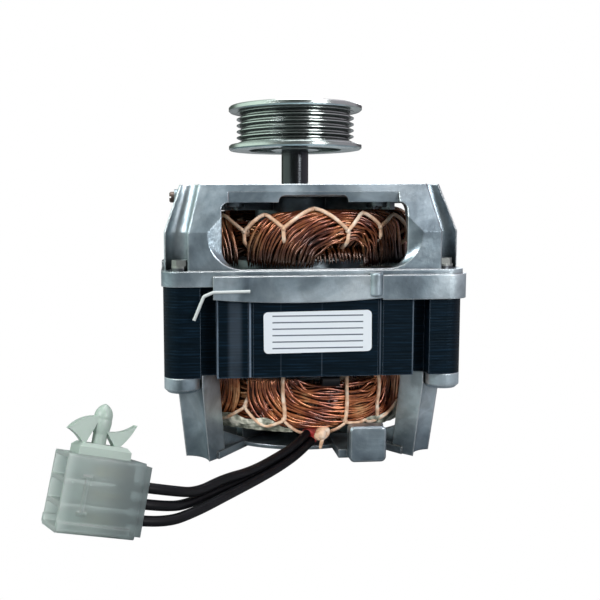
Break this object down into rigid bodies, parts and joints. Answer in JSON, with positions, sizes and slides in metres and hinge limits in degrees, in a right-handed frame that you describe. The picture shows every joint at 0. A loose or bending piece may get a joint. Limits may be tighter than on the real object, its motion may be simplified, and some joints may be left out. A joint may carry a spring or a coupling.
{
  "type": "washing machine motor",
  "caption": "Open-frame induction motor for a washing machine, with a ribbed belt pulley on its shaft, cast end shields, laced copper windings, and leads to a white plug.",
  "frame": {"origin": "on the shaft's axis in the plane of the feet", "axes": "+Z along the shaft towards the pulley, -Y towards the side that carries the rating label, +X to the right as that side is seen"},
  "size_m": [0.1363, 0.1822, 0.1274],
  "materials": {
    "core_laminations": "dark blue-black varnish over stacked laminations",
    "slot_film": "pale polyester film",
    "copper_wire": "enamelled copper wire",
    "lacing_cord": "cream polyester cord",
    "band_paper": "pale grey-green insulation",
    "red_sleeving": "red woven sleeving",
    "black_sleeving": "black shrink sleeving",
    "rotor_laminations": "turned laminations",
    "cast_aluminium": "die-cast, lightly blasted",
    "ground_steel": "ground",
    "spring_steel": "oiled spring steel",
    "washer_steel": "hardened steel",
    "machined_pulley": "turned, bright",
    "bronze_bush": "sintered bronze",
    "oil_felt": "oil-soaked felt",
    "screw_steel": "zinc plated",
    "screw_brown": "yellow passivated zinc, dulled",
    "label_paper": "white satin film",
    "tie_nylon": "natural nylon",
    "black_lead": "black insulation",
    "connector_nylon": "translucent natural nylon",
    "terminal_brass": "tinned brass",
    "clip_nylon": "natural nylon"
  },
  "bodies": {
    "stator": {"connector_clip": "clip_nylon", "connector_housing": "connector_nylon", "connector_terminals": "terminal_brass", "earth_screw": "screw_brown", "frame_screws": "screw_steel", "insulation_band": "band_paper", "joint_sleeve": "black_sleeving", "lead_front": "black_lead", "lead_rear": "black_lead", "lead_sleeve": "red_sleeving", "lead_upper": "black_lead", "lower_bush": "bronze_bush", "lower_bush_retainer": "spring_steel", "lower_felt_ring": "oil_felt", "lower_lacing": "lacing_cord", "lower_outer_turns": "copper_wire", "lower_overhang": "copper_wire", "lower_shield": "cast_aluminium", "rating_label": "label_paper", "slot_conductors": "copper_wire", "slot_liners": "slot_film", "slot_wedges": "slot_film", "spring_washers": "spring_steel", "stator_core": "core_laminations", "tie_tail": "tie_nylon", "upper_bush": "bronze_bush", "upper_bush_retainer": "spring_steel", "upper_felt_ring": "oil_felt", "upper_lacing": "lacing_cord", "upper_outer_turns": "copper_wire", "upper_overhang": "copper_wire", "upper_shield": "cast_aluminium"},
    "rotor": {"shaft": "ground_steel", "rotor_core": "rotor_laminations", "rotor_cage": "cast_aluminium", "pulley": "machined_pulley", "upper_thrust_washers": "washer_steel", "lower_thrust_washers": "washer_steel", "retaining_rings": "spring_steel"}
  },
  "joints": [
    {"name": "rotor_spin", "type": "hinge", "parent": "stator", "child": "rotor", "pos_m": [0, 0, 0], "axis": [0, 0, 1], "continuous": true}
  ]
}
